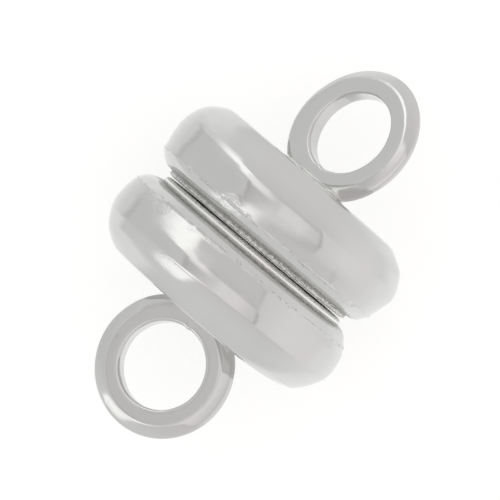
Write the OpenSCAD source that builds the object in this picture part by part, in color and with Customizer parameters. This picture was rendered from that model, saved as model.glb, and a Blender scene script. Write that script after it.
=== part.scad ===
// Round magnetic jewellery clasp, closed and lying on its side.
// Two turned and silver-plated cups meet face to face. Each holds a disc magnet in
// its mouth and carries a closed loop soldered to its outer face, slightly askew.
// Millimetres. +X runs along the clasp from half A to half B and +Z is up. The origin
// is on the axis, in the plane where the two halves meet.

/* [Drum] */
// Diameter across the widest part of the drum
drum_d = 8.0; // [7.8:0.1:8.6]
// Length of one half, from the joint plane to its flat outer face
half_len = 2.65; // [2.6:0.01:2.8]
// Distance from the joint plane to the widest part of one half
belly_x = 1.31; // [1.29:0.01:1.36]
// Width of the narrow true cylinder around the belly, which the clasp lies on
belly_band = 0.3; // [0.2:0.02:0.4]
// Radius of the gentle barrel curve between the belly and the shoulder
barrel_r = 1.62; // [1.55:0.01:1.7]
// Radius of the tighter shoulder curve next to the joint
shoulder_r = 0.57; // [0.54:0.01:0.6]
// Angle at which the barrel curve hands over to the shoulder curve, in degrees
shoulder_a = 33.3; // [31:0.1:35]

/* [Lip and magnet seat] */
// Diameter of the thin lip at the mouth of each cup
lip_d = 6.5; // [6.36:0.01:6.52]
// Gap between the two lips when the clasp is closed
lip_gap = 0.06; // [0.04:0.01:0.08]
// Radius on the outer edge of the lip
lip_round = 0.05; // [0.03:0.01:0.06]
// Diameter of the seat bored into each cup for its magnet
seat_d = 5.9; // [5.6:0.05:6]
// Thickness of the cup's outer end wall, behind the magnet
end_wall = 0.5; // [0.48:0.01:0.6]

/* [Magnets] */
// Radial gap between a magnet and its seat
magnet_gap = 0.05; // [0.02:0.01:0.08]
// How far a magnet's face lies behind the edge of the lip
magnet_recess = 0.05; // [0.03:0.01:0.1]
// Gap behind a magnet, at the bottom of its seat
magnet_back = 0.03; // [0.02:0.01:0.06]
// Radius on the edges of a magnet
magnet_round = 0.12; // [0.06:0.01:0.2]

/* [Loops] */
// Diameter of the hole through a loop
loop_hole_d = 2.56; // [2.4:0.02:2.7]
// Width of the loop's metal, measured radially
loop_w = 0.82; // [0.76:0.02:0.9]
// Thickness of the loop's metal, measured through the hole
loop_t = 0.58; // [0.54:0.02:0.64]
// Radius on the loop's inner edges
loop_in_round = 0.12; // [0.08:0.01:0.14]
// Radius on the loop's outer edges
loop_out_round = 0.22; // [0.16:0.01:0.24]
// Distance from the outer face of a cup to the centre of its loop
loop_reach = 1.63; // [1.6:0.01:1.75]
// How far loop A is turned about the clasp's axis from lying flat, in degrees
loop_a_turn = 18; // [0:1:90]
// How far loop B is turned about the clasp's axis from lying flat, in degrees
loop_b_turn = 40; // [0:1:90]
// How far loop A leans sideways from the axis, in degrees
loop_a_lean = 7; // [0:0.5:8]
// How far loop B leans sideways from the axis, in degrees
loop_b_lean = 4.5; // [0:0.5:8]

/* [Solder] */
// How far the solder stands out around the foot of a loop
solder_w = 0.14; // [0.1:0.01:0.2]
// Height of the solder above the outer face
solder_h = 0.1; // [0.06:0.01:0.14]

/* [Hidden] */
$fn = 96;

drum_r = drum_d / 2;
lip_r = lip_d / 2;
lip_x = lip_gap / 2;
seat_r = seat_d / 2;
seat_x = half_len - end_wall;
magnet_r = seat_r - magnet_gap;
magnet_x0 = lip_x + magnet_recess;
magnet_x1 = seat_x - magnet_back;
loop_in = loop_hole_d / 2;
loop_out = loop_in + loop_w;

// The curves of a half's outline, each as [radius from the axis, distance from the joint].
// Each smaller curve stands a micron proud of the larger one where they meet, so that
// the outlines cross there.
proud = 0.0008;
barrel_c = [drum_r - proud - barrel_r, belly_x];
corner_r = half_len - belly_x;
corner_c = [drum_r - corner_r, belly_x];
shoulder_off = barrel_r - shoulder_r + proud;
shoulder_c = barrel_c + shoulder_off * [cos(shoulder_a), -sin(shoulder_a)];
shoulder_x = shoulder_c[1] - shoulder_r;

// Half the length of the strip where a loop of outer radius loop_out cuts the outer face
foot_half = sqrt(loop_out * loop_out - loop_reach * loop_reach);

// Outline of a cup before its seat is bored: x is the radius, y the distance from the joint
module cup_outline() {
    // flat body inside the curves
    translate([0, shoulder_x]) square([shoulder_c[0], half_len - 0.4 - shoulder_x]);
    translate([0, belly_x]) square([corner_c[0], corner_r]);
    // shoulder next to the joint
    translate(shoulder_c) circle(r = shoulder_r);
    // barrel, from the shoulder to the belly
    intersection() {
        translate(barrel_c) circle(r = barrel_r);
        polygon([
            barrel_c - [0.6, 0],
            barrel_c + 3 * [cos(shoulder_a), -sin(shoulder_a)],
            barrel_c + [3, 0],
        ]);
    }
    // narrow true cylinder around the belly
    translate([0, belly_x - belly_band / 2]) square([drum_r, belly_band]);
    // rounded corner, from the belly to the outer face
    intersection() {
        translate(corner_c) circle(r = corner_r);
        translate([1, belly_x - 0.35]) square([drum_r, half_len]);
    }
    // lip, with its outer edge rounded
    translate([0, lip_x]) square([lip_r - lip_round, 0.6]);
    translate([0, lip_x + lip_round]) square([lip_r, 0.5]);
    translate([lip_r - lip_round, lip_x + lip_round]) circle(r = lip_round);
}

// One cup without its loop, with its mouth towards the joint plane and its axis on +X
module cup_body() {
    rotate([0, 90, 0])
        rotate_extrude()
            difference() {
                cup_outline();
                translate([-1, -1]) square([1 + seat_r, 1 + seat_x]);
            }
}

// Section of a loop's metal: flat inside for what hangs in it, rounder outside
module loop_section() {
    half_t = loop_t / 2;
    translate([loop_in + loop_in_round, -half_t])
        square([loop_w - loop_in_round - loop_out_round, loop_t]);
    translate([loop_in, -(half_t - loop_in_round)])
        square([loop_w / 2, loop_t - 2 * loop_in_round]);
    translate([loop_in + loop_w / 2, -(half_t - loop_out_round)])
        square([loop_w / 2, loop_t - 2 * loop_out_round]);
    for (s = [-1, 1]) {
        translate([loop_in + loop_in_round, s * (half_t - loop_in_round)])
            circle(r = loop_in_round);
        translate([loop_out - loop_out_round, s * (half_t - loop_out_round)])
            circle(r = loop_out_round);
    }
}

// A loop and the solder at its foot, on the outer face of the half on the +X side
module soldered_loop(turn, lean) {
    translate([half_len, 0, 0])
        rotate([0, 0, -lean])
            rotate([-turn, 0, 0])
                translate([loop_reach, 0, 0])
                    rotate_extrude() loop_section();
    // solder drawn out along the foot of the loop
    translate([half_len - 0.2, 0, 0])
        rotate([-turn, 0, 0])
            rotate([0, 90, 0]) {
                linear_extrude(height = 0.2 + solder_h) {
                    w = loop_t + 2 * solder_w;
                    l = 2 * foot_half + 2 * solder_w - w;
                    square([w, l], center = true);
                    for (s = [-1, 1]) translate([0, s * l / 2]) circle(d = w);
                }
            }
}

// Disc magnet with rounded edges, on the +X side
module disc_magnet() {
    len = magnet_x1 - magnet_x0;
    rotate([0, 90, 0])
        translate([0, 0, magnet_x0])
            rotate_extrude() {
                square([magnet_r - magnet_round, len]);
                translate([0, magnet_round]) square([magnet_r, len - 2 * magnet_round]);
                translate([magnet_r - magnet_round, magnet_round]) circle(r = magnet_round);
                translate([magnet_r - magnet_round, len - magnet_round]) circle(r = magnet_round);
            }
}

module cup_a() {
    color("silver")
        mirror([1, 0, 0])
            union() {
                cup_body();
                soldered_loop(loop_a_turn, loop_a_lean);
            }
}

module magnet_a() {
    color("gainsboro") mirror([1, 0, 0]) disc_magnet();
}

module cup_b() {
    color("silver")
        union() {
            cup_body();
            soldered_loop(loop_b_turn, loop_b_lean);
        }
}

module magnet_b() {
    color("gainsboro") disc_magnet();
}

cup_a();
magnet_a();
cup_b();
magnet_b();
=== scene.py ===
import math

import bmesh
import bpy
import numpy as np
from mathutils import Matrix, Vector


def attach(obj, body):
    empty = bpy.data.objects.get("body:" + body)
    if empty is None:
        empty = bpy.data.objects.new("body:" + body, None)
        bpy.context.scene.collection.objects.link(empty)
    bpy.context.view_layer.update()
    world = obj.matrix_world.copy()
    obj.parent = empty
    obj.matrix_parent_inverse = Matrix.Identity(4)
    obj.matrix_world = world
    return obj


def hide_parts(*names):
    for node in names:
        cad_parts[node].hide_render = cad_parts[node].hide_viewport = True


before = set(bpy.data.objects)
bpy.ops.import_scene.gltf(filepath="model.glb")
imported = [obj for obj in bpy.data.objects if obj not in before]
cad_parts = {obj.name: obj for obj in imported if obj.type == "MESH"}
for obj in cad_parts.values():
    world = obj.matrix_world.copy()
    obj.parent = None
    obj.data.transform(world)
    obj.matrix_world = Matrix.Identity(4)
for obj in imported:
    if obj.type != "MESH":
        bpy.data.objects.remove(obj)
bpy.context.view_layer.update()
MM = 0.001
RNG = np.random.default_rng(7)

# ---------------------------------------------------------------- sizes, in millimetres
R_MAX = 3.9985          # widest radius of the drum, a hair inside the CAD solid's 4.0
HALF = 2.65             # joint plane to outer face
LIP_R, LIP_X = 3.25, 0.03
SEAT_R, SEAT_X = 2.95, 2.15
HOLE_R, LOOP_W, LOOP_T = 1.28, 0.82, 0.58
REACH = 1.63
TURN = {"a": 18.0, "b": 40.0}
LEAN = {"a": 7.0, "b": 4.5}
MAGNET_R, MAGNET_X0, MAGNET_X1 = 2.90, 0.08, 2.12
CREASE_X = 0.570        # the burred edge between barrel and shoulder

# Slope of one half's outline, in degrees from the axis, against the distance from the joint:
# a cone that rises to the belly, two soft crests, a second cone, and the corner to the end.
SLOPE = [
    (0.185, -80.0), (0.22, -69.0), (0.28, -54.0), (0.35, -42.0), (0.42, -35.5), (0.50, -32.5), (0.555, -31.0),
    (0.585, -19.5), (0.70, -18.0), (0.85, -17.2), (1.00, -15.8), (1.15, -15.2), (1.25, -14.0), (1.315, -9.0),
    (1.38, 0.5), (1.44, 9.0), (1.50, 11.8), (1.58, 13.2), (1.635, 15.3), (1.67, 22.0), (1.70, 25.6),
    (1.74, 26.2), (1.78, 28.0), (1.86, 29.6), (1.95, 31.0), (2.03, 35.0), (2.10, 38.5), (2.20, 41.5), (2.30, 45.5), (2.40, 50.5),
    (2.50, 54.5), (2.58, 58.0), (2.605, 62.0), (2.625, 74.0), (2.6445, 88.5),
]


def smooth_table(table, x):
    """Monotone-ish cubic through the table's points (Catmull-Rom on the given spacing)."""
    tx = np.array([t[0] for t in table]); ty = np.array([t[1] for t in table])
    d = np.diff(ty) / np.diff(tx)
    m = np.empty(len(tx)); m[0], m[-1] = d[0], d[-1]
    for i in range(1, len(tx) - 1):
        m[i] = 0 if d[i - 1] * d[i] <= 0 else 2 * d[i - 1] * d[i] / (d[i - 1] + d[i])
    i = np.clip(np.searchsorted(tx, x) - 1, 0, len(tx) - 2)
    h = tx[i + 1] - tx[i]; s = np.clip((x - tx[i]) / h, 0, 1)
    return ((2 * s**3 - 3 * s**2 + 1) * ty[i] + (s**3 - 2 * s**2 + s) * h * m[i]
            + (-2 * s**3 + 3 * s**2) * ty[i + 1] + (s**3 - s**2) * h * m[i + 1])


def arc(cx, cr, r, a0, a1, n):
    """Points of an arc in the (x, radius) plane; angles in degrees from +x towards +radius."""
    return [(cx + r * math.cos(math.radians(a)), cr + r * math.sin(math.radians(a))) for a in np.linspace(a0, a1, n)]


def outer_curve(which):
    """The drum's outline from the groove beside the lip to the rim of the outer face."""
    x = np.linspace(0.205 if which == "b" else SLOPE[0][0], SLOPE[-1][0], 6000)
    shift = 0.045 * np.exp(-((x - 1.55) / 0.16) ** 4) if which == "b" else 0 * x
    phi = np.radians(smooth_table(SLOPE, x + shift))
    t = np.tan(phi)
    r = np.concatenate([[0], -np.cumsum((t[1:] + t[:-1]) / 2 * np.diff(x))])
    r += R_MAX - r.max()
    # even steps in arc length and in turning together
    near = 3.2 * np.exp(-((x[1:] - CREASE_X) / 0.034) ** 4)
    s = np.concatenate([[0], np.cumsum((1 + near) * np.hypot(np.diff(x), np.diff(r)) + 0.055 * np.abs(np.diff(phi)))])
    k = np.interp(np.linspace(0, s[-1], 104), s, np.arange(len(s)))
    return list(zip(np.interp(k, np.arange(len(x)), x), np.interp(k, np.arange(len(x)), r)))


def cup_outline(which):
    """Closed outline of a cup, (x, radius) from the axis at the outer face round to the axis at the seat's floor."""
    curve = outer_curve(which)
    foot = curve[0]
    p = [(HALF, 0.0), (HALF, 0.6), (HALF, 1.3), (HALF, 1.7), (HALF, 2.0), (HALF, 2.2), (HALF, 2.4), (HALF, 2.6)]
    end = curve[-1]
    p += [(HALF, end[1] - 0.13), (HALF, end[1] - 0.012)]
    p += curve[::-1]
    # down the wall beside the lip, then the lip and a shallow step into the mouth: a rolled bead on half A, plain on half B
    if which == "a":
        p += [(foot[0] - 0.003, foot[1] - 0.025), (0.1775, LIP_R + 0.030), (0.1755, LIP_R - 0.012), (0.1735, LIP_R - 0.018)]
        p += [(0.1680, LIP_R - 0.005), (0.1590, LIP_R + 0.002), (0.1430, LIP_R + 0.0055), (0.1230, LIP_R + 0.006), (0.1040, LIP_R + 0.0055),
              (0.0880, LIP_R + 0.002), (0.0790, LIP_R - 0.006), (0.0745, LIP_R - 0.018)]
        p += [(0.0725, LIP_R - 0.034), (0.0640, LIP_R - 0.036), (0.0560, LIP_R - 0.030), (0.0440, LIP_R - 0.031)]
        p += [(0.0345, LIP_R - 0.037), (0.0290, LIP_R - 0.048), (0.0280, LIP_R - 0.072), (0.0235, LIP_R - 0.084), (0.0150, LIP_R - 0.089)]
        face = 0.0130
    else:
        p += [(foot[0] - 0.003, foot[1] - 0.025), (0.1995, LIP_R + 0.040), (0.1980, LIP_R + 0.010)]
        p += [(0.1940, LIP_R - 0.010), (0.1820, LIP_R - 0.010), (0.1700, LIP_R - 0.001), (0.1540, LIP_R + 0.001), (0.1380, LIP_R - 0.007), (0.1220, LIP_R - 0.005),
              (0.1040, LIP_R - 0.003), (0.0880, LIP_R - 0.009)]
        p += [(0.0765, LIP_R - 0.018), (0.0710, LIP_R - 0.032), (0.0700, LIP_R - 0.072), (0.0640, LIP_R - 0.084), (0.0470, LIP_R - 0.089)]
        face = 0.0440
    p += [(face, LIP_R - 0.096), (face, SEAT_R + 0.05), (face + 0.012, SEAT_R + 0.018), (face + 0.032, SEAT_R)]
    p += [(x, SEAT_R) for x in (0.8, 1.5, SEAT_X - 0.06)]
    p += [(SEAT_X - 0.015, SEAT_R - 0.015), (SEAT_X, SEAT_R - 0.06), (SEAT_X, 1.5), (SEAT_X, 0.0)]
    return p


def new_object(name, verts, faces):
    me = bpy.data.meshes.new(name)
    me.from_pydata([tuple(v) for v in verts], [], faces)
    me.validate()
    ob = bpy.data.objects.new(name, me)
    bpy.context.scene.collection.objects.link(ob)
    return ob


def recalc(ob):
    bm = bmesh.new(); bm.from_mesh(ob.data)
    bmesh.ops.recalc_face_normals(bm, faces=bm.faces)
    bm.to_mesh(ob.data); bm.free()


def lathe(name, outline, seg, sign, wobble=None):
    """Closed solid of revolution about X from an outline whose two ends lie on the axis."""
    ang = np.arange(seg) / seg * 2 * math.pi
    ca, sa = np.cos(ang), np.sin(ang)
    verts, rows = [], []
    for i, (x, r) in enumerate(outline):
        if r < 1e-9:
            rows.append([len(verts)]); verts.append((sign * x * MM, 0, 0)); continue
        dx, dr = (wobble(x, r, ang) if wobble else (0 * ang, 0 * ang))
        rr, xx = r + dr, x + dx
        rows.append(list(range(len(verts), len(verts) + seg)))
        verts += [(sign * xx[j] * MM, rr[j] * sa[j] * MM, rr[j] * ca[j] * MM) for j in range(seg)]
    faces = []
    for a, b in zip(rows[:-1], rows[1:]):
        for j in range(seg):
            k = (j + 1) % seg
            if len(a) == 1:
                faces.append((a[0], b[j], b[k]))
            elif len(b) == 1:
                faces.append((a[j], b[0], a[k]))
            else:
                faces.append((a[j], b[j], b[k], a[k]))
    ob = new_object(name, verts, faces)
    recalc(ob)
    return ob


def periodic(seed, low, high, power):
    """A smooth random function of the angle, with unit spread, made of waves low..high round the circle."""
    g = np.random.default_rng(seed)
    k = np.arange(low, high + 1)
    amp = k ** (-power) * g.normal(size=len(k)); ph = g.uniform(0, 2 * math.pi, len(k))
    norm = math.sqrt(0.5 * float((amp**2).sum()))
    return lambda a: (np.cos(np.outer(np.atleast_1d(a), k) + ph) @ amp) / norm


def nicks(seed, count, width, where=(0, 2 * math.pi)):
    """Sum of small bumps at random angles: each a dent with its own width (radians) and depth."""
    g = np.random.default_rng(seed)
    c = g.uniform(*where, count); w = width * g.uniform(0.5, 1.6, count); d = g.uniform(0.25, 1.0, count) ** 1.5

    def f(a):
        out = np.zeros_like(a)
        for ci, wi, di in zip(c, w, d):
            u = (a - ci + math.pi) % (2 * math.pi) - math.pi
            out += di * np.exp(-(u / wi) ** 2)
        return out
    return f


def end_shift(which, y):
    """How far the outer face of a half stands out or back, y millimetres to the side of the axis."""
    return -0.078 + 0.018 * y if which == "b" else -0.034 - 0.016 * y


def cup_wobble(which, seed):
    """Hand-finished irregularities, in millimetres: the burred crease's uneven line, the lip's nicks, a slow wave
    of the barrel, and the mouths, which aren't quite square to the axis."""
    crease = periodic(seed, 3, 60, 0.6)
    fine = periodic(seed + 1, 30, 150, 0.1)
    lipw = periodic(seed + 2, 4, 90, 0.45)
    slow = periodic(seed + 3, 2, 7, 1.0)
    slow2 = periodic(seed + 4, 2, 9, 1.0)
    dents = nicks(seed + 5, 62, 0.016)
    bumps = nicks(seed + 7, 44, 0.011)
    rag = periodic(seed + 8, 1, 9, 0.6); patchy = periodic(seed + 9, 14, 60, 0.2)
    lipd = nicks(seed + 6, 70 if which == "b" else 24, 0.014)
    k = 1.5 if which == "b" else 0.45
    back = 1 if which == "b" else -1

    def f(x, r, a):
        dx = np.zeros_like(a); dr = np.zeros_like(a)
        if r > 3.3 and x < 2.6:
            # slow wave of the polished barrel, a few microns
            dr += 0.0016 * slow(a) * math.sin(1.2 * x) + 0.0012 * slow2(a) * math.cos(2.1 * x)
            dr -= 0.0016 * 1.6 + 0.0012 * 1.6
            g = math.exp(-((x - CREASE_X) / 0.019) ** 2); wide = math.exp(-((x - CREASE_X) / 0.032) ** 2)
            if wide > 1e-3:
                calm = 1 - (0.70 if which == "b" else 0.25) * np.exp(-(((a + math.pi) % (2 * math.pi) - math.pi + 0.02) / 0.30) ** 4)
                dx += 0.007 * g * crease(a)
                dr += g * (0.013 + 0.0055 * fine(a)) * (0.45 + 0.55 * calm) - 0.030 * wide * dents(a) * calm + 0.016 * g * bumps(a) * calm
        upper = np.clip((np.sin(a) - 0.45) / 0.5, 0, 1) ** 2
        lower = np.clip((-np.sin(a) - 0.45) / 0.5, 0, 1) ** 2
        if 0.20 < x < 1.40:
            # and so is the barrel beside the joint
            side = np.clip((np.sin(a) - 0.68) / 0.30, 0, 1) ** 2
            if which == "a":
                dr += side * smooth_table([(0.20, 0.0), (0.38, 0.105), (0.60, 0.125), (0.80, 0.105), (1.00, 0.080), (1.18, 0.034), (1.40, 0.0)], x)
                dr += lower * smooth_table([(0.20, 0.0), (0.45, 0.010), (0.62, 0.040), (0.80, 0.075), (1.00, 0.060), (1.18, 0.028), (1.40, 0.0)], x)
            else:
                dr += side * smooth_table([(0.20, 0.0), (0.38, 0.065), (0.52, 0.085), (0.70, 0.055), (1.00, 0.022), (1.20, 0.0), (1.40, 0.0)], x)
        if which == "b" and 0.9 < x < 2.0:
            dr -= 0.034 * upper * math.exp(-((x - 1.42) / 0.26) ** 4)
        if x > 1.6 and r > 2.85 and x < HALF:
            # the corner is a little fuller on one side of each half than on the other
            if which == "b":
                dr += 0.110 * upper * math.exp(-((x - 2.30) / 0.42) ** 2) + 0.060 * lower * math.exp(-((x - 2.25) / 0.30) ** 2)
            else:
                dr += 0.105 * upper * math.exp(-((x - 2.42) / 0.38) ** 2)
        if which == "a" and x > 2.3:
            t = min(1.0, max(0.0, (r - 1.95) / 0.9)) * min(1.0, max(0.0, (3.42 - r) / 0.30))
            dx -= 0.085 * lower * t * t * (3 - 2 * t)
        if (x > 1.75 and r > 2.96) or x > 2.25:
            # the outer faces aren't quite square to the axis
            e = min(1.0, (x - 1.75) / 0.90)
            dx += end_shift(which, r * np.sin(a)) * e * e * (3 - 2 * e)
        if r < 3.42 and r > 3.10 and 0.05 < x < 0.24:
            # torn and rubbed metal in the groove, row by row
            g = np.random.default_rng(seed * 1000 + int(round(x * 1e4)))
            n = g.normal(size=len(a)); n = (n + 0.7 * np.roll(n, 1) + 0.3 * np.roll(n, 2)) / 1.26
            rough = np.clip(0.62 + 0.3 * rag(a) - 2.2 * np.clip(np.sin(a) - 0.05, -0.1, 0.25), 0.10, 1.2) * np.clip(0.35 + 0.9 * patchy(a), 0.1, 1.6)
            dr += (0.0036 if which == "b" else 0.0014) * rough * n
        if r < 3.34 and r > 2.96 and x < 0.21:
            dr += k * (-0.003 + 0.0026 * lipw(a) - 0.010 * lipd(a))
            if x < 0.10:
                dx += (0.0010 * lipw(a) + 0.0020 * lipd(a) + back * 0.006 * np.sin(a)) * (1 - max(0, x - 0.05) / 0.05)
        return dx, dr
    return f


# ---------------------------------------------------------------- loops

def loop_section():
    """Right half-closed section of a loop's metal, (radius from the loop's centre, height): flat faces, a crisp
    inner edge, and outside a soft crest, a sloping band and a rounded rim."""
    h = LOOP_T / 2 - 0.001
    inner, outer = HOLE_R + 0.001, HOLE_R + LOOP_W - 0.001
    top = []
    # inner wall to face: a small round
    top += [(inner, 0.0), (inner, 0.08), (inner, h - 0.125)]
    top += [(inner + 0.095 - 0.095 * math.cos(t), h - 0.105 + 0.104 * math.sin(t)) for t in np.radians(np.linspace(7, 88, 9))]
    top += [(1.42, h), (1.50, h), (1.59, h), (1.66, h)]
    # crest, sloping band and rim by slope (degrees below the face)
    s_tab = [(0.0, 0), (0.025, 6.5), (0.05, 12), (0.085, 16), (0.12, 22.5), (0.16, 26.5), (0.22, 28), (0.30, 30.5), (0.36, 36), (0.41, 48), (0.455, 65), (0.485, 82), (0.505, 90)]
    s = np.linspace(0, s_tab[-1][0], 400)
    a = np.radians(smooth_table(s_tab, s))
    p = np.concatenate([[0], np.cumsum(np.cos((a[1:] + a[:-1]) / 2) * np.diff(s))])
    q = np.concatenate([[0], np.cumsum(np.sin((a[1:] + a[:-1]) / 2) * np.diff(s))])
    p = 1.68 + p * (outer - 1.68) / p[-1]
    q = h - q * h / q[-1]
    step = np.concatenate([[0], np.cumsum(np.hypot(np.diff(p), np.diff(q)) + 0.05 * np.abs(np.diff(a)))])
    k = np.interp(np.linspace(0, step[-1], 20), step, np.arange(len(step)))
    top += list(zip(np.interp(k, np.arange(len(p)), p), np.interp(k, np.arange(len(q)), q)))
    bottom = [(x, -y) for x, y in top[::-1] if y > 1e-6]
    return [t for t in top] + bottom


def loop_matrix(which):
    m = (Matrix.Translation((HALF, 0, 0)) @ Matrix.Rotation(math.radians(-LEAN[which]), 4, "Z")
         @ Matrix.Rotation(math.radians(-TURN[which]), 4, "X") @ Matrix.Translation((REACH, 0, 0)))
    if which == "a":
        m = Matrix.Diagonal((-1, 1, 1, 1)) @ m
    return m


def make_loop(which, seed, seg=288):
    sec = loop_section()
    m = loop_matrix(which)
    wav = periodic(seed, 2, 6, 0.8); wav2 = periodic(seed + 1, 2, 9, 0.8); wav3 = periodic(seed + 2, 3, 24, 0.7)
    a = np.arange(seg) / seg * 2 * math.pi
    w1, w2, w3 = wav(a), wav2(a), wav3(a)
    g = np.random.default_rng(seed + 9)
    marks = [(g.uniform(-2.2, 2.2), g.uniform(1.66, 2.02), g.uniform(0.015, 0.035), g.uniform(0.02, 0.05), g.uniform(0.002, 0.006)) for _ in range(14)]
    verts = []
    n = len(sec)
    for j in range(seg):
        # beside the upper end of the foot the sloping band is filled up to nearly the level of the flat face;
        # on half B's loop this goes on along the whole side that faces up
        ramp = (a[j] - 1.10) / 1.00 if which == "b" else (a[j] - (math.pi - 1.16)) / 0.26
        t = min(1.0, max(0.0, ramp)) * min(1.0, max(0.0, (math.pi - 0.10 - a[j]) / 0.30))
        fill = 0.85 * t * t * (3 - 2 * t)
        for p, q in sec:
            if fill > 0 and 1.60 < p < 2.09:
                full = min(LOOP_T / 2 - 0.0015, 0.07 + math.sqrt(max(0.0, 0.0484 - max(0.0, p - 1.88) ** 2)))
                q = math.copysign(abs(q) + fill * min(1.0, abs(q) / 0.10) * max(0.0, full - abs(q)), q)
            rim = max(0.0, (p - 1.66) / 0.43)
            inn = max(0.0, (1.36 - p) / 0.08)
            # a lump of solder over the loop's own seam, at the middle of the foot
            lump = 0.032 * math.exp(-((a[j] - math.pi - 0.03) / 0.07) ** 2 - ((p - 1.30) / 0.09) ** 2)
            dent = 0.0
            if p > 1.6:
                for ma, mp, mw, mh, md in marks:
                    t = (a[j] - ma + math.pi) % (2 * math.pi) - math.pi
                    if abs(t) < 3 * mw:
                        dent += md * math.exp(-(t / mw) ** 2 - ((p - mp) / mh) ** 2)
            pp = p - 0.0024 * (1 + w2[j]) * rim + 0.0026 * w3[j] * inn - 0.5 * dent - lump
            qq = q * (1 - 0.005 * (1.6 + w1[j])) + 0.0005 * w3[j] * rim * (1 if q > 0 else -1) + (0.25 * lump - dent) * (1 if q > 0 else -1) * min(1.0, abs(q) / 0.08)
            v = m @ Vector((pp * math.cos(a[j]), pp * math.sin(a[j]), qq))
            verts.append(v * MM)
    faces = [(j * n + i, j * n + (i + 1) % n, ((j + 1) % seg) * n + (i + 1) % n, ((j + 1) % seg) * n + i)
             for j in range(seg) for i in range(n)]
    ob = new_object("loop_" + which, verts, faces)
    recalc(ob)
    return ob


def make_solder(which, seed):
    """The hollow fillet of solder round the foot of a loop, a closed ring of its own that overlaps both."""
    sign = -1 if which == "a" else 1
    t = math.radians(TURN[which])
    along = Vector((0, math.cos(t), -math.sin(t)))
    across = Vector((0, math.sin(t), math.cos(t)))
    half_l = math.sqrt((HOLE_R + LOOP_W) ** 2 - REACH ** 2) - 0.035
    half_w = LOOP_T / 2 - 0.012
    rad = 0.17
    seg = 220
    wav = periodic(seed, 2, 11, 0.7); wav2 = periodic(seed + 1, 3, 17, 0.7)
    # rounded rectangle, by arc length
    pts = []
    for cx, cy, a0 in ((half_l - rad, half_w - rad, 0), (-(half_l - rad), half_w - rad, 90),
                       (-(half_l - rad), -(half_w - rad), 180), (half_l - rad, -(half_w - rad), 270)):
        for a in np.linspace(a0, a0 + 90, 24):
            c, s = math.cos(math.radians(a)), math.sin(math.radians(a))
            pts.append((cx + rad * c, cy + rad * s, c, s))
    pts = np.array(pts + [pts[0]])
    d = np.concatenate([[0], np.cumsum(np.hypot(np.diff(pts[:, 0]), np.diff(pts[:, 1])))])
    u = np.linspace(0, d[-1], seg, endpoint=False)
    px, py, nx, ny = (np.interp(u, d, pts[:, k]) for k in range(4))
    a = u / d[-1] * 2 * math.pi
    w = 0.050 + 0.010 * wav(a); h = 0.026 + 0.005 * wav2(a)
    shift = math.radians(LEAN[which])
    verts = []; prof_n = 0
    for j in range(seg):
        sec = [(-0.14, -0.25), (-0.14, h[j] * 0.9), (-0.04, h[j] + 0.008)]
        for q in np.linspace(0, 1, 9):
            ang = q * math.pi / 2
            # hollow curve from the loop's wall down to the face
            sec.append((0.004 + w[j] * (1 - math.cos(ang)) , h[j] * (1 - math.sin(ang)) + 0.0015))
        sec += [(w[j] + 0.02, -0.006), (w[j] + 0.01, -0.25)]
        prof_n = len(sec)
        for o, z in sec:
            e = px[j] + nx[j] * o; f = py[j] + ny[j] * o
            # the loop leans, so its foot walks sideways with height
            e -= z * math.tan(shift) if z > 0 else 0
            v = along * e + across * f
            v.x = sign * (HALF + z + end_shift(which, v.y))
            verts.append(v * MM)
    faces = [(j * prof_n + i, j * prof_n + (i + 1) % prof_n, ((j + 1) % seg) * prof_n + (i + 1) % prof_n, ((j + 1) % seg) * prof_n + i)
             for j in range(seg) for i in range(prof_n)]
    ob = new_object("solder_" + which, verts, faces)
    recalc(ob)
    return ob


def union(base, *others):
    for o in others:
        m = base.modifiers.new("join", "BOOLEAN")
        m.operation = "UNION"; m.solver = "EXACT"; m.object = o
    dg = bpy.context.evaluated_depsgraph_get()
    me = bpy.data.meshes.new_from_object(base.evaluated_get(dg))
    base.modifiers.clear()
    old = base.data; base.data = me; me.name = base.name
    bpy.data.meshes.remove(old)
    for o in others:
        m2 = o.data; bpy.data.objects.remove(o); bpy.data.meshes.remove(m2)
    return base


def finish_mesh(ob, angle=32):
    bm = bmesh.new(); bm.from_mesh(ob.data)
    bmesh.ops.remove_doubles(bm, verts=bm.verts, dist=2e-7)
    bmesh.ops.dissolve_degenerate(bm, dist=1e-7, edges=bm.edges)
    bm.to_mesh(ob.data); bm.free()
    ob.data.shade_smooth()
    ob.data.set_sharp_from_angle(angle=math.radians(angle))


# ---------------------------------------------------------------- node helpers

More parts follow.
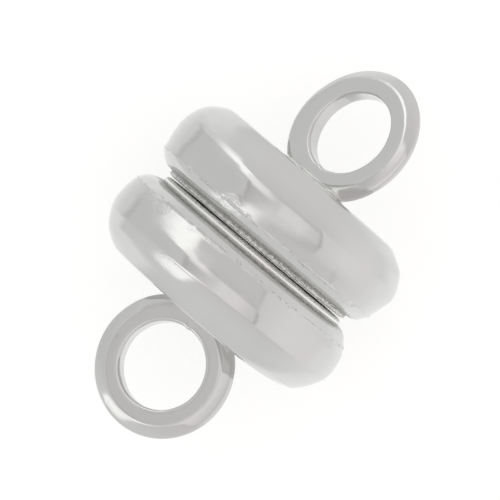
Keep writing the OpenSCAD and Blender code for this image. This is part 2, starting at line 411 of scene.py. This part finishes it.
class Nodes:
    """Short hand for building a node tree: each call adds a node and returns its output socket."""

    def __init__(self, tree):
        self.t = tree

    def _put(self, node, sockets):
        for key, val in sockets.items():
            s = node.inputs[key]
            if isinstance(val, bpy.types.NodeSocket):
                self.t.links.new(val, s)
            elif val is not None:
                s.default_value = val

    def math(self, op, a, b=None, c=None, clamp=False):
        n = self.t.nodes.new("ShaderNodeMath"); n.operation = op; n.use_clamp = clamp
        self._put(n, {0: a, 1: b, 2: c}); return n.outputs[0]

    def vmath(self, op, a, b=None, out=0):
        n = self.t.nodes.new("ShaderNodeVectorMath"); n.operation = op
        self._put(n, {0: a, 1: b}); return n.outputs[out]

    def step(self, v, lo, hi, a=0.0, b=1.0):
        """Smooth step of v from a at lo to b at hi; lo may be above hi."""
        n = self.t.nodes.new("ShaderNodeMapRange"); n.interpolation_type = "SMOOTHSTEP"
        if lo > hi:
            lo, hi, a, b = hi, lo, b, a
        self._put(n, {"Value": v, "From Min": lo, "From Max": hi, "To Min": a, "To Max": b})
        return n.outputs["Result"]

    def mix(self, f, a, b):
        """Numbers: a where f is 0, b where f is 1."""
        n = self.t.nodes.new("ShaderNodeMix"); n.data_type = "FLOAT"
        self._put(n, {0: f, 2: a, 3: b}); return n.outputs[0]

    def cmix(self, f, a, b, blend="MIX"):
        n = self.t.nodes.new("ShaderNodeMix"); n.data_type = "RGBA"; n.blend_type = blend
        self._put(n, {0: f, 6: a, 7: b}); return n.outputs[2]

    def noise(self, vec, scale, detail=2.0, rough=0.5, dist=0.0, out=0, dims="3D"):
        n = self.t.nodes.new("ShaderNodeTexNoise"); n.noise_dimensions = dims
        self._put(n, {"Vector": vec, "Scale": scale, "Detail": detail, "Roughness": rough, "Distortion": dist})
        return n.outputs[out]

    def voronoi(self, vec, scale, feature="F1", rand=1.0, out="Distance"):
        n = self.t.nodes.new("ShaderNodeTexVoronoi"); n.feature = feature
        self._put(n, {"Vector": vec, "Scale": scale, "Randomness": rand})
        return n.outputs[out]

    def sep(self, vec):
        n = self.t.nodes.new("ShaderNodeSeparateXYZ"); self._put(n, {0: vec}); return n.outputs

    def comb(self, x, y, z):
        n = self.t.nodes.new("ShaderNodeCombineXYZ"); self._put(n, {0: x, 1: y, 2: z}); return n.outputs[0]


def new_material(name):
    m = bpy.data.materials.new(name); m.use_nodes = True
    t = m.node_tree
    for n in list(t.nodes):
        t.nodes.remove(n)
    out = t.nodes.new("ShaderNodeOutputMaterial")
    bsdf = t.nodes.new("ShaderNodeBsdfPrincipled")
    t.links.new(bsdf.outputs[0], out.inputs[0])
    return m, t, bsdf


def silver_material():
    """Silver plate, polished: faint warm and cool patches, hairlines, pits along the crease, rougher metal with painted
    shade in the groove, bright flecks there that are partly painted glints, and a painted highlight on half A's bead.
    """
    m, t, bsdf = new_material("silver_plate")
    N = Nodes(t)
    tc = t.nodes.new("ShaderNodeTexCoord"); pos = tc.outputs["Object"]
    xyz = N.sep(pos)
    ax = N.math("ABSOLUTE", xyz[0])
    r = N.math("SQRT", N.math("ADD", N.math("MULTIPLY", xyz[1], xyz[1]), N.math("MULTIPLY", xyz[2], xyz[2])))
    # zones, as 0..1
    near_joint = N.step(ax, 0.00040, 0.00026)
    deep = N.math("MULTIPLY", near_joint, N.step(r, 0.00362, 0.00340))
    half_b = N.step(xyz[0], -0.00001, 0.00001)
    half_a = N.math("SUBTRACT", 1.0, half_b)
    bead = N.math("MULTIPLY", N.math("MULTIPLY", N.step(ax, 0.000068, 0.000076), N.step(ax, 0.000180, 0.000172)), N.step(r, 0.00333, 0.00329))
    bead = N.math("MULTIPLY", bead, half_a)
    crease = N.math("MULTIPLY", N.step(ax, 0.00047, 0.00054), N.step(ax, 0.00070, 0.00060))
    outside = N.step(r, 0.00300, 0.00320)
    # colour
    patch = N.noise(pos, 420.0, 2.0, 0.5)
    patch2 = N.noise(N.vmath("ADD", pos, (0.11, 0.23, 0.37)), 900.0, 2.0, 0.5)
    warm = N.cmix(N.step(patch, 0.38, 0.62), (0.726, 0.727, 0.718, 1), (0.742, 0.736, 0.732, 1))
    col = N.cmix(N.step(patch2, 0.42, 0.60), warm, (0.730, 0.728, 0.720, 1))
    specks = N.voronoi(pos, 9000.0)
    speck_on = N.step(N.noise(pos, 1900.0, 2.0, 0.6), 0.46, 0.58)
    speck = N.math("MULTIPLY", N.step(specks, 0.30, 0.12), speck_on)
    col = N.cmix(N.math("MULTIPLY", N.math("MULTIPLY", speck, crease), 0.55), col, (0.30, 0.30, 0.285, 1))
    # painted shade: the groove's metal is darkened, mottled, where the two halves shade each other
    shade_mottle = N.noise(N.comb(N.math("MULTIPLY", xyz[0], 0.6), xyz[1], xyz[2]), 9000.0, 4.0, 0.7)
    groove_shade = N.math("MULTIPLY", deep, N.step(shade_mottle, 0.35, 0.65, 0.0, 1.0))
    col = N.cmix(N.math("MULTIPLY", groove_shade, 0.55), col, (0.34, 0.34, 0.325, 1))
    # bright flecks in the groove, more on half B: partly metal rubbed bare, partly painted glints
    scuff_and_glint = N.noise(N.vmath("MULTIPLY", pos, (1.0, 0.6, 0.6)), 21000.0, 2.0, 0.6)
    torn = N.math("MULTIPLY", half_b, N.step(N.math("ADD", xyz[1], N.math("MULTIPLY", patch, 0.0016)), 0.0020, 0.0009, 0.22, 1.0))
    scuff_and_glint = N.math("MULTIPLY", N.math("MULTIPLY", deep, N.step(scuff_and_glint, 0.50, 0.64)), N.mix(torn, 0.40, 0.95))
    col = N.cmix(scuff_and_glint, col, (0.98, 0.975, 0.96, 1))
    # painted highlight: half A's bead is made near-white so its highlight line shows brighter; partly a rubbed bright
    # edge
    col = N.cmix(bead, col, (0.995, 0.99, 0.975, 1))
    core = N.math("MULTIPLY", N.step(ax, 0.000062, 0.000048), N.math("MULTIPLY", N.step(r, 0.00321, 0.00317), N.step(r, 0.00294, 0.00296)))
    col = N.cmix(core, col, (0.93, 0.925, 0.91, 1))
    end = N.mix(half_b, 0.002660, 0.002615)
    over = N.math("SUBTRACT", ax, end)
    solder = N.math("MULTIPLY", N.math("MULTIPLY", N.step(over, -0.00002, 0.0), N.step(over, 0.00006, 0.00004)), N.step(r, 0.0019, 0.0017))
    col = N.cmix(solder, col, (0.97, 0.965, 0.95, 1))
    t.links.new(col, bsdf.inputs["Base Color"])
    # roughness
    rough = N.mix(N.step(N.noise(pos, 1500.0, 3.0, 0.55), 0.35, 0.70), 0.09, 0.14)
    smear = N.step(N.noise(N.comb(N.math("MULTIPLY", xyz[0], 6.0), xyz[1], xyz[2]), 700.0, 3.0, 0.6), 0.50, 0.72)
    rough = N.math("ADD", rough, N.math("MULTIPLY", smear, 0.03))
    rough = N.math("ADD", rough, N.math("MULTIPLY", deep, N.mix(half_b, 0.14, 0.22)))
    rough = N.math("ADD", rough, N.math("MULTIPLY", solder, 0.18))
    rough = N.math("ADD", rough, N.math("MULTIPLY", N.step(ax, 0.00046, 0.00028), 0.07))
    rough = N.math("ADD", rough, N.math("MULTIPLY", N.math("MULTIPLY", crease, speck), 0.25))
    t.links.new(rough, bsdf.inputs["Roughness"])
    bsdf.inputs["Metallic"].default_value = 1.0
    bsdf.inputs["Specular Tint"].default_value = (0.80, 0.80, 0.80, 1)
    # bump: a polish's slight orange peel, hairline scratches, pits at the crease, turning marks in the groove
    peel = N.noise(pos, 2600.0, 2.0, 0.5)
    grain = N.noise(pos, 8500.0, 2.0, 0.55)
    swell = N.noise(pos, 850.0, 1.0, 0.4)
    hair = N.noise(N.comb(N.math("MULTIPLY", xyz[0], 14.0), xyz[1], xyz[2]), 3200.0, 5.0, 0.75)
    hair = N.math("MULTIPLY", N.step(hair, 0.60, 0.72), -1.0)
    pits = N.math("MULTIPLY", N.math("MULTIPLY", speck, crease), -2.2)
    few = N.math("MULTIPLY", N.step(N.voronoi(pos, 1700.0), 0.085, 0.03), -1.2)
    # crinkled plating: in patches along the crease, one beside the far window's reflection and one at half A's far end
    def spot(x, y, z, rad):
        d = N.vmath("DISTANCE", pos, (x * MM, y * MM, z * MM), out=1)
        return N.step(d, rad * MM, rad * 0.55 * MM)
    patches = N.math("MULTIPLY", N.math("MULTIPLY", crease, outside), N.step(N.noise(pos, 1100.0, 2.0, 0.6), 0.45, 0.60))
    patches = N.math("MAXIMUM", patches, N.math("MAXIMUM", spot(0.60, 1.42, 3.45, 0.44), spot(-0.62, 3.20, 1.95, 0.50)))
    patches = N.math("MAXIMUM", patches, N.math("MULTIPLY", N.math("MAXIMUM", spot(-0.66, 2.62, 2.66, 0.36), spot(0.52, -3.05, 2.15, 0.40)), 0.8))
    patches = N.math("MAXIMUM", patches, N.math("MULTIPLY", N.math("MAXIMUM", spot(-0.60, 1.70, 3.32, 0.26), spot(-0.60, -3.40, 1.55, 0.42)), 0.7))
    patches = N.math("MAXIMUM", patches, N.math("MULTIPLY", N.math("MAXIMUM", spot(-1.80, 1.90, 3.38, 0.62), spot(-1.84, 2.90, 2.53, 0.60)), 0.55))
    crinkle = N.noise(N.vmath("MULTIPLY", pos, (1.5, 1.0, 1.0)), 11500.0, 3.0, 0.6)
    crinkle = N.math("MULTIPLY", N.math("MULTIPLY", crinkle, patches), 6.5)
    turn = N.math("MULTIPLY", N.math("MULTIPLY", N.noise(N.vmath("MULTIPLY", pos, (1.0, 0.7, 0.7)), 17000.0, 3.0, 0.65), deep), N.mix(torn, 4.0, 11.0))
    turn = N.math("MULTIPLY", turn, N.mix(bead, 1.0, 0.25))
    hgt = N.math("ADD", N.math("ADD", N.math("MULTIPLY", peel, 0.60), N.math("MULTIPLY", swell, 4.0)), N.math("MULTIPLY", hair, 0.18))
    hgt = N.math("ADD", hgt, N.math("MULTIPLY", grain, 0.22))
    hgt = N.math("ADD", N.math("ADD", hgt, N.math("ADD", pits, crinkle)), N.math("ADD", few, turn))
    b = t.nodes.new("ShaderNodeBump"); b.inputs["Strength"].default_value = 1.0; b.inputs["Distance"].default_value = 0.0000016
    t.links.new(hgt, b.inputs["Height"]); t.links.new(b.outputs[0], bsdf.inputs["Normal"])
    return m


def nickel_material():
    """Nickel-plated magnet: greyer and a little softer, with turned rings on its face and rubbed marks."""
    m, t, bsdf = new_material("magnet_nickel")
    N = Nodes(t)
    tc = t.nodes.new("ShaderNodeTexCoord"); pos = tc.outputs["Object"]
    xyz = N.sep(pos)
    r = N.math("SQRT", N.math("ADD", N.math("MULTIPLY", xyz[1], xyz[1]), N.math("MULTIPLY", xyz[2], xyz[2])))
    tone = N.noise(pos, 700.0, 3.0, 0.6)
    col = N.cmix(N.step(tone, 0.35, 0.65), (0.60, 0.585, 0.555, 1), (0.66, 0.645, 0.615, 1))
    rub = N.step(N.noise(N.comb(xyz[0], N.math("MULTIPLY", xyz[1], 1.0), N.math("MULTIPLY", xyz[2], 5.0)), 1500.0, 4.0, 0.7), 0.55, 0.68)
    col = N.cmix(N.math("MULTIPLY", rub, 0.35), col, (0.74, 0.725, 0.70, 1))
    t.links.new(col, bsdf.inputs["Base Color"])
    rough = N.mix(rub, 0.24, 0.16)
    t.links.new(rough, bsdf.inputs["Roughness"])
    bsdf.inputs["Metallic"].default_value = 1.0
    rings = N.noise(N.comb(N.math("MULTIPLY", r, 1.0), 0.0, N.math("MULTIPLY", xyz[0], 1.0)), 26000.0, 3.0, 0.6)
    grain = N.noise(pos, 12000.0, 3.0, 0.6)
    hgt = N.math("ADD", N.math("MULTIPLY", rings, 0.8), N.math("MULTIPLY", grain, 0.5))
    b = t.nodes.new("ShaderNodeBump"); b.inputs["Strength"].default_value = 1.0; b.inputs["Distance"].default_value = 0.0000022
    t.links.new(hgt, b.inputs["Height"]); t.links.new(b.outputs[0], bsdf.inputs["Normal"])
    return m


# ---------------------------------------------------------------- the pieces

silver = silver_material()
nickel = nickel_material()

for which, sign, body, seed in (("a", -1, "half_a", 11), ("b", 1, "half_b", 53)):
    cup = lathe("cup_" + which + "_shell", cup_outline(which), 500, sign, cup_wobble(which, seed))
    loop = make_loop(which, seed + 100)
    solder = make_solder(which, seed + 200)
    union(cup, solder, loop)
    finish_mesh(cup)
    cup.name = "cup_" + which + "_fine"
    cup.data.materials.clear(); cup.data.materials.append(silver)
    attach(cup, body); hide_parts("cup_" + which)

e = 0.12
mag_line = [(MAGNET_X0, 0.0), (MAGNET_X0, 0.8), (MAGNET_X0, 1.6), (MAGNET_X0, 2.3), (MAGNET_X0, MAGNET_R - e - 0.02)]
mag_line += arc(MAGNET_X0 + e, MAGNET_R - 0.001 - e, e, 180, 90, 9)
mag_line += [(x, MAGNET_R - 0.001) for x in np.linspace(0.5, MAGNET_X1 - 0.3, 4)]
mag_line += arc(MAGNET_X1 - e, MAGNET_R - 0.001 - e, e, 90, 0, 9)
mag_line += [(MAGNET_X1, 2.3), (MAGNET_X1, 1.2), (MAGNET_X1, 0.0)]
for which, sign, body, seed in (("a", -1, "half_a", 301), ("b", 1, "core_b", 302)):
    chips = nicks(seed, 9, 0.02)

    def edge(x, r, a, chips=chips):
        k = math.exp(-((x - MAGNET_X0 - 0.03) / 0.05) ** 2 - ((r - MAGNET_R + 0.05) / 0.07) ** 2)
        return 0.012 * k * chips(a), -0.012 * k * chips(a)
    mag = lathe("magnet_" + which + "_disc", mag_line, 256, sign, edge)
    finish_mesh(mag, 40)
    mag.name = "magnet_" + which + "_fine"
    mag.data.materials.append(nickel)
    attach(mag, body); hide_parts("magnet_" + which)


# ---------------------------------------------------------------- floor

def make_floor():
    n, size = 24, 1.5
    verts = [((i / n - 0.5) * 2 * size, (j / n - 0.5) * 2 * size, -0.004) for j in range(n + 1) for i in range(n + 1)]
    faces = [(j * (n + 1) + i, j * (n + 1) + i + 1, (j + 1) * (n + 1) + i + 1, (j + 1) * (n + 1) + i) for j in range(n) for i in range(n)]
    ob = new_object("floor", verts, faces)
    m, t, bsdf = new_material("floor_pale")
    N = Nodes(t)
    tc = t.nodes.new("ShaderNodeTexCoord")
    grain = N.noise(tc.outputs["Object"], 900.0, 3.0, 0.5)
    col = N.cmix(grain, (0.545, 0.545, 0.542, 1), (0.56, 0.56, 0.557, 1))
    t.links.new(col, bsdf.inputs["Base Color"])
    bsdf.inputs["Roughness"].default_value = 0.9
    bsdf.inputs["Specular IOR Level"].default_value = 0.0
    bsdf.inputs["Emission Color"].default_value = (1.0, 1.0, 1.0, 1)
    bsdf.inputs["Emission Strength"].default_value = FLOOR_GLOW
    ob.data.materials.append(m)
    # the metal mirrors the tent down to its hems, as it does on the small stand in the photograph
    ob.visible_glossy = False
    return ob


FLOOR_GLOW = 0.62
floor = make_floor()


# ---------------------------------------------------------------- light tent

def lin(v):
    """Linear light from an 8-bit tone as it looks in the polished metal."""
    c = v / 255
    c = c / 12.92 if c <= 0.04045 else ((c + 0.055) / 1.055) ** 2.4
    return c / 0.73


def make_world():
    """A box of white cloth: a top panel, four side panels with soft seams, and a bright window in each far corner.
    Directions are given as degrees from straight up, u towards +X and v towards -Y."""
    w = bpy.data.worlds.new("light_tent"); bpy.context.scene.world = w; w.use_nodes = True
    t = w.node_tree
    for n in list(t.nodes):
        t.nodes.remove(n)
    N = Nodes(t)
    tc = t.nodes.new("ShaderNodeTexCoord")
    d = N.sep(tc.outputs["Generated"])
    pol = N.math("MULTIPLY", N.math("ARCCOSINE", N.math("MINIMUM", N.math("MAXIMUM", d[2], -1.0), 1.0)), 57.29578)
    ln = N.math("MAXIMUM", N.math("SQRT", N.math("ADD", N.math("MULTIPLY", d[0], d[0]), N.math("MULTIPLY", d[1], d[1]))), 1e-5)
    k = N.math("DIVIDE", pol, ln)
    u = N.math("MULTIPLY", d[0], k)
    v = N.math("MULTIPLY", N.math("MULTIPLY", d[1], k), -1.0)

    def side(a, b, soft, left=True):
        """1 on the side of the line a-b that lies to its left (u right, v down), with a soft edge."""
        (u0, v0), (u1, v1) = a, b
        nx, ny = (v1 - v0), -(u1 - u0)
        L = math.hypot(nx, ny); nx, ny = nx / L, ny / L
        s = N.math("ADD", N.math("ADD", N.math("MULTIPLY", u, nx), N.math("MULTIPLY", v, ny)), -(u0 * nx + v0 * ny))
        return N.step(s, -soft, soft)

    def area(points, soft):
        """Soft-edged convex polygon; points run clockwise as seen with u right and v down."""
        out = None
        for i, a in enumerate(points):
            b = points[(i + 1) % len(points)]
            s = side(a, b, soft[i] if isinstance(soft, (list, tuple)) else soft)
            s = N.math("SUBTRACT", 1.0, s)
            out = s if out is None else N.math("MULTIPLY", out, s)
        return out

    def line(a, b, width, ends=3.0):
        """Thin soft line from a to b."""
        (u0, v0), (u1, v1) = a, b
        L = math.hypot(u1 - u0, v1 - v0); tx, ty = (u1 - u0) / L, (v1 - v0) / L
        al = N.math("ADD", N.math("ADD", N.math("MULTIPLY", u, tx), N.math("MULTIPLY", v, ty)), -(u0 * tx + v0 * ty))
        ac = N.math("ABSOLUTE", N.math("ADD", N.math("ADD", N.math("MULTIPLY", u, ty), N.math("MULTIPLY", v, -tx)), -(u0 * ty - v0 * tx)))
        return N.math("MULTIPLY", N.step(ac, width, width * 0.25), N.math("MULTIPLY", N.step(al, -ends, ends), N.step(al, L + ends, L - ends)))

    # side walls, paler away from the top and near the front
    left = N.mix(N.step(u, -36.0, -85.0), lin(190), lin(196))
    left = N.mix(N.step(v, 45.0, 120.0), left, lin(211))
    right = N.mix(N.step(u, 28.0, 85.0), lin(189), lin(198))
    right = N.mix(N.step(v, 26.0, 72.0), right, lin(207))
    val = N.mix(N.step(u, -1.0, 1.0), left, right)
    # front wall
    front = N.mix(N.step(v, 40.0, 66.0), lin(201), lin(208.5))
    front = N.mix(N.step(v, 96.0, 132.0), front, lin(220))
    val = N.mix(area([(-32, 30), (28, 30), (45, 27), (38, 140), (-38, 140)], [1.5, 1.5, 4.0, 6.0, 2.0]), val, front)
    # back wall, with the shadow line of its lower hem
    back = N.mix(N.step(u, -32.0, -62.0), lin(187), lin(193))
    val = N.mix(area([(-66, -122), (60, -118), (38, -100), (20, -38), (-34, -38)], [3, 3, 4, 2, 3]), val, back)
    val = N.mix(line((-40, -114), (34, -113), 4.0, 6.0), val, lin(179))
    # top panel: darker to the back on the left, paler on the right
    along = N.mix(N.step(u, -16.0, 24.0), lin(179), lin(224))
    mid = N.mix(N.step(u, -22.0, 22.0), lin(186), lin(216))
    shade = N.mix(N.step(v, -34.0, -18.0), along, mid)
    shade = N.mix(N.step(v, -22.0, -9.0), shade, lin(197))
    shade = N.mix(N.step(v, -8.5, -1.5), shade, lin(208.5))
    shade = N.mix(N.step(v, 14.0, 33.0), shade, lin(195))
    top = area([(-38, -28.5), (-33, -35.0), (-26, -37.3), (-8, -39.5), (20, -39.5), (28.5, -20), (27.5, 31), (22, 37.0), (-31, 40), (-35, 0), (-38.5, -22)], 1.2)
    val = N.mix(top, val, shade)
    # seams
    for a, b, wd, tone in (((-46, -28.0), (-37.5, -29.8), 2.2, 172), ((-37.5, -29.8), (-32.8, -35.2), 2.4, 166), ((-32.8, -35.2), (-20, -38.0), 2.5, 164), ((-20, -38.0), (17, -39.0), 2.5, 168), ((21, -29.5), (31, -37.0), 2.0, 176), ((-31, 39.2), (20, 36.8), 2.4, 166), ((20, 36.8), (40, 28.5), 2.2, 176),
                           ((-35.5, -4), (-31, 39), 2.4, 180), ((28, -20), (28, 32), 2.2, 178)):
        val = N.mix(line(a, b, wd, 2.0), val, lin(tone))
    # the floor seen past the walls' hems
    far = N.step(u, 60.0, 105.0)
    away = N.mix(N.step(v, -20.0, 20.0), N.mix(N.step(pol, 124.0, 172.0), lin(216), lin(236)),
                 N.mix(N.step(pol, 118.0, 160.0), N.mix(far, lin(217), lin(206)), N.mix(far, lin(238), lin(229))))
    val = N.mix(area([(50, -74), (54, -240), (240, -240), (240, -58), (120, -62)], [5.0, 6.0, 9.0, 9.0, 8.0]), val, N.mix(N.step(pol, 98.0, 136.0), lin(202), lin(218)))
    val = N.mix(N.step(v, -117.0, -124.0), val, N.mix(N.step(pol, 124.0, 150.0), lin(203), lin(213)))
    for pts, soft in (([(-62, 112), (-62, 240), (-240, 240), (-240, -40)], [6.0, 9.0, 9.0, 5.0]),
                      ([(-73.5, -113), (-99.5, -48), (-240, -48), (-240, -240), (-73.5, -240)], [5.0, 8.0, 9.0, 9.0, 5.0]),
                      ([(-60, -109), (-240, -109), (-240, -240), (-60, -240)], [5.0, 9.0, 9.0, 5.0]),
                      ([(60, -112), (60, -240), (240, -240), (240, -40), (134, -46)], [7.0, 9.0, 9.0, 9.0, 6.0]),
                      ([(142, 44), (240, 44), (240, 240), (52, 240), (52, 132)], [9.0, 9.0, 9.0, 14.0, 8.0])):
        val = N.mix(area(pts, soft), val, away)
    val = N.mix(N.mix(N.step(v, -20.0, 20.0), N.step(pol, 130.0, 156.0), N.step(pol, 116.0, 140.0)), val, away)
    # the left wall's rounded lower corner
    val = N.mix(area([(-30, 64), (-46, 74), (-50, 100), (-50, 140), (-30, 140)], [2.0, 3.0, 3.0, 3.0, 2.0]), val, lin(206))
    val = N.mix(line((-34, 64), (-41, 71.5), 2.0, 2.0), val, lin(183))
    val = N.mix(line((-41, 71.5), (-50, 74), 2.0, 2.0), val, lin(185))
    # right window: slanting lower edge, fading upwards, with a narrow tail
    w1 = N.math("MAXIMUM", area([(29.5, -35.6), (27.0, -54), (29.3, -68), (34.0, -92), (39.0, -116), (56, -116), (54, -51), (38, -42.0)], [1.4, 2.0, 2.4, 3.0, 4.0, 3.0, 2.2, 1.3]),
                area([(21.3, -29.0), (24.5, -52), (30.5, -56), (31, -37.5), (28.8, -30.5)], [1.8, 2.0, 2.0, 1.1, 1.5]))
    val = N.mix(w1, val, N.mix(N.step(v, -92.0, -62.0), lin(200), lin(248)))
    val = N.mix(area([(21.0, -44), (29.5, -44), (27, -18), (19.5, -24)], [2.0, 1.5, 1.5, 2.5]), val, lin(226))
    # left window: the main pane, the bar beside it, a thin pane along the top panel's edge
    w2 = area([(-84, -34), (-70, -60), (-55, -50), (-53.5, -20)], [4.0, 3.5, 1.6, 3.0])
    val = N.mix(w2, val, N.mix(N.step(u, -86.0, -64.0), lin(206), lin(244)))
    w2b = area([(-50.5, -24), (-50.5, -50), (-42, -50), (-36.8, -30.5), (-30.8, -20), (-29.5, -5)], [1.2, 2.2, 2.2, 1.4, 1.8, 2.0])
    val = N.mix(w2b, val, N.mix(N.step(v, -10.0, -26.0), lin(212), lin(246)))
    # the cloth is a little warm, the back wall and the left side neutral
    cool = N.math("MAXIMUM", N.math("MAXIMUM", N.step(v, -36.0, -44.0), N.step(u, -52.0, -66.0)), N.step(pol, 106.0, 122.0))
    tint = t.nodes.new("ShaderNodeCombineColor")
    for i, (c0, c1) in enumerate(((1.008, 0.998), (0.985, 1.004), (0.978, 0.990))):
        t.links.new(N.math("MULTIPLY", val, N.mix(cool, c0, c1)), tint.inputs[i])
    bg = t.nodes.new("ShaderNodeBackground"); t.links.new(tint.outputs[0], bg.inputs["Color"])
    plain = t.nodes.new("ShaderNodeBackground"); plain.inputs["Color"].default_value = (0.93, 0.93, 0.925, 1)
    lp = t.nodes.new("ShaderNodeLightPath"); mx = t.nodes.new("ShaderNodeMixShader")
    t.links.new(lp.outputs["Is Camera Ray"], mx.inputs[0]); t.links.new(bg.outputs[0], mx.inputs[1]); t.links.new(plain.outputs[0], mx.inputs[2])
    out = t.nodes.new("ShaderNodeOutputWorld"); t.links.new(mx.outputs[0], out.inputs["Surface"])
    return w


make_world()

# ---------------------------------------------------------------- camera, straight above with the clasp turned in the frame

def make_camera():
    dist, scale = 150.0, 34.884          # mm, pixels per mm at the clasp
    a, b, r = math.radians(0.94), math.radians(-0.62), math.radians(50.08)
    ex = Vector((math.cos(a), 0, -math.sin(a)))
    ey = Vector((math.sin(a) * math.sin(b), math.cos(b), math.cos(a) * math.sin(b)))
    ez = Vector((math.sin(a) * math.cos(b), -math.sin(b), math.cos(a) * math.cos(b)))
    right = ex * math.cos(r) - ey * math.sin(r)
    up = ex * math.sin(r) + ey * math.cos(r)
    loc = ez * dist - right * (4.80 / scale) - up * (2.27 / scale)
    data = bpy.data.cameras.new("camera"); cam = bpy.data.objects.new("camera", data)
    bpy.context.scene.collection.objects.link(cam)
    data.sensor_width = 36.0; data.lens = 36.0 * scale * dist / 500
    data.clip_start, data.clip_end = 0.01, 20.0
    cam.matrix_world = Matrix.Translation(loc * MM) @ Matrix((right, up, ez)).transposed().to_4x4()
    bpy.context.scene.camera = cam
    return cam


make_camera()
vs = bpy.context.scene.view_settings
vs.view_transform = "Standard"; vs.look = "None"; vs.exposure = 0.0; vs.gamma = 1.0
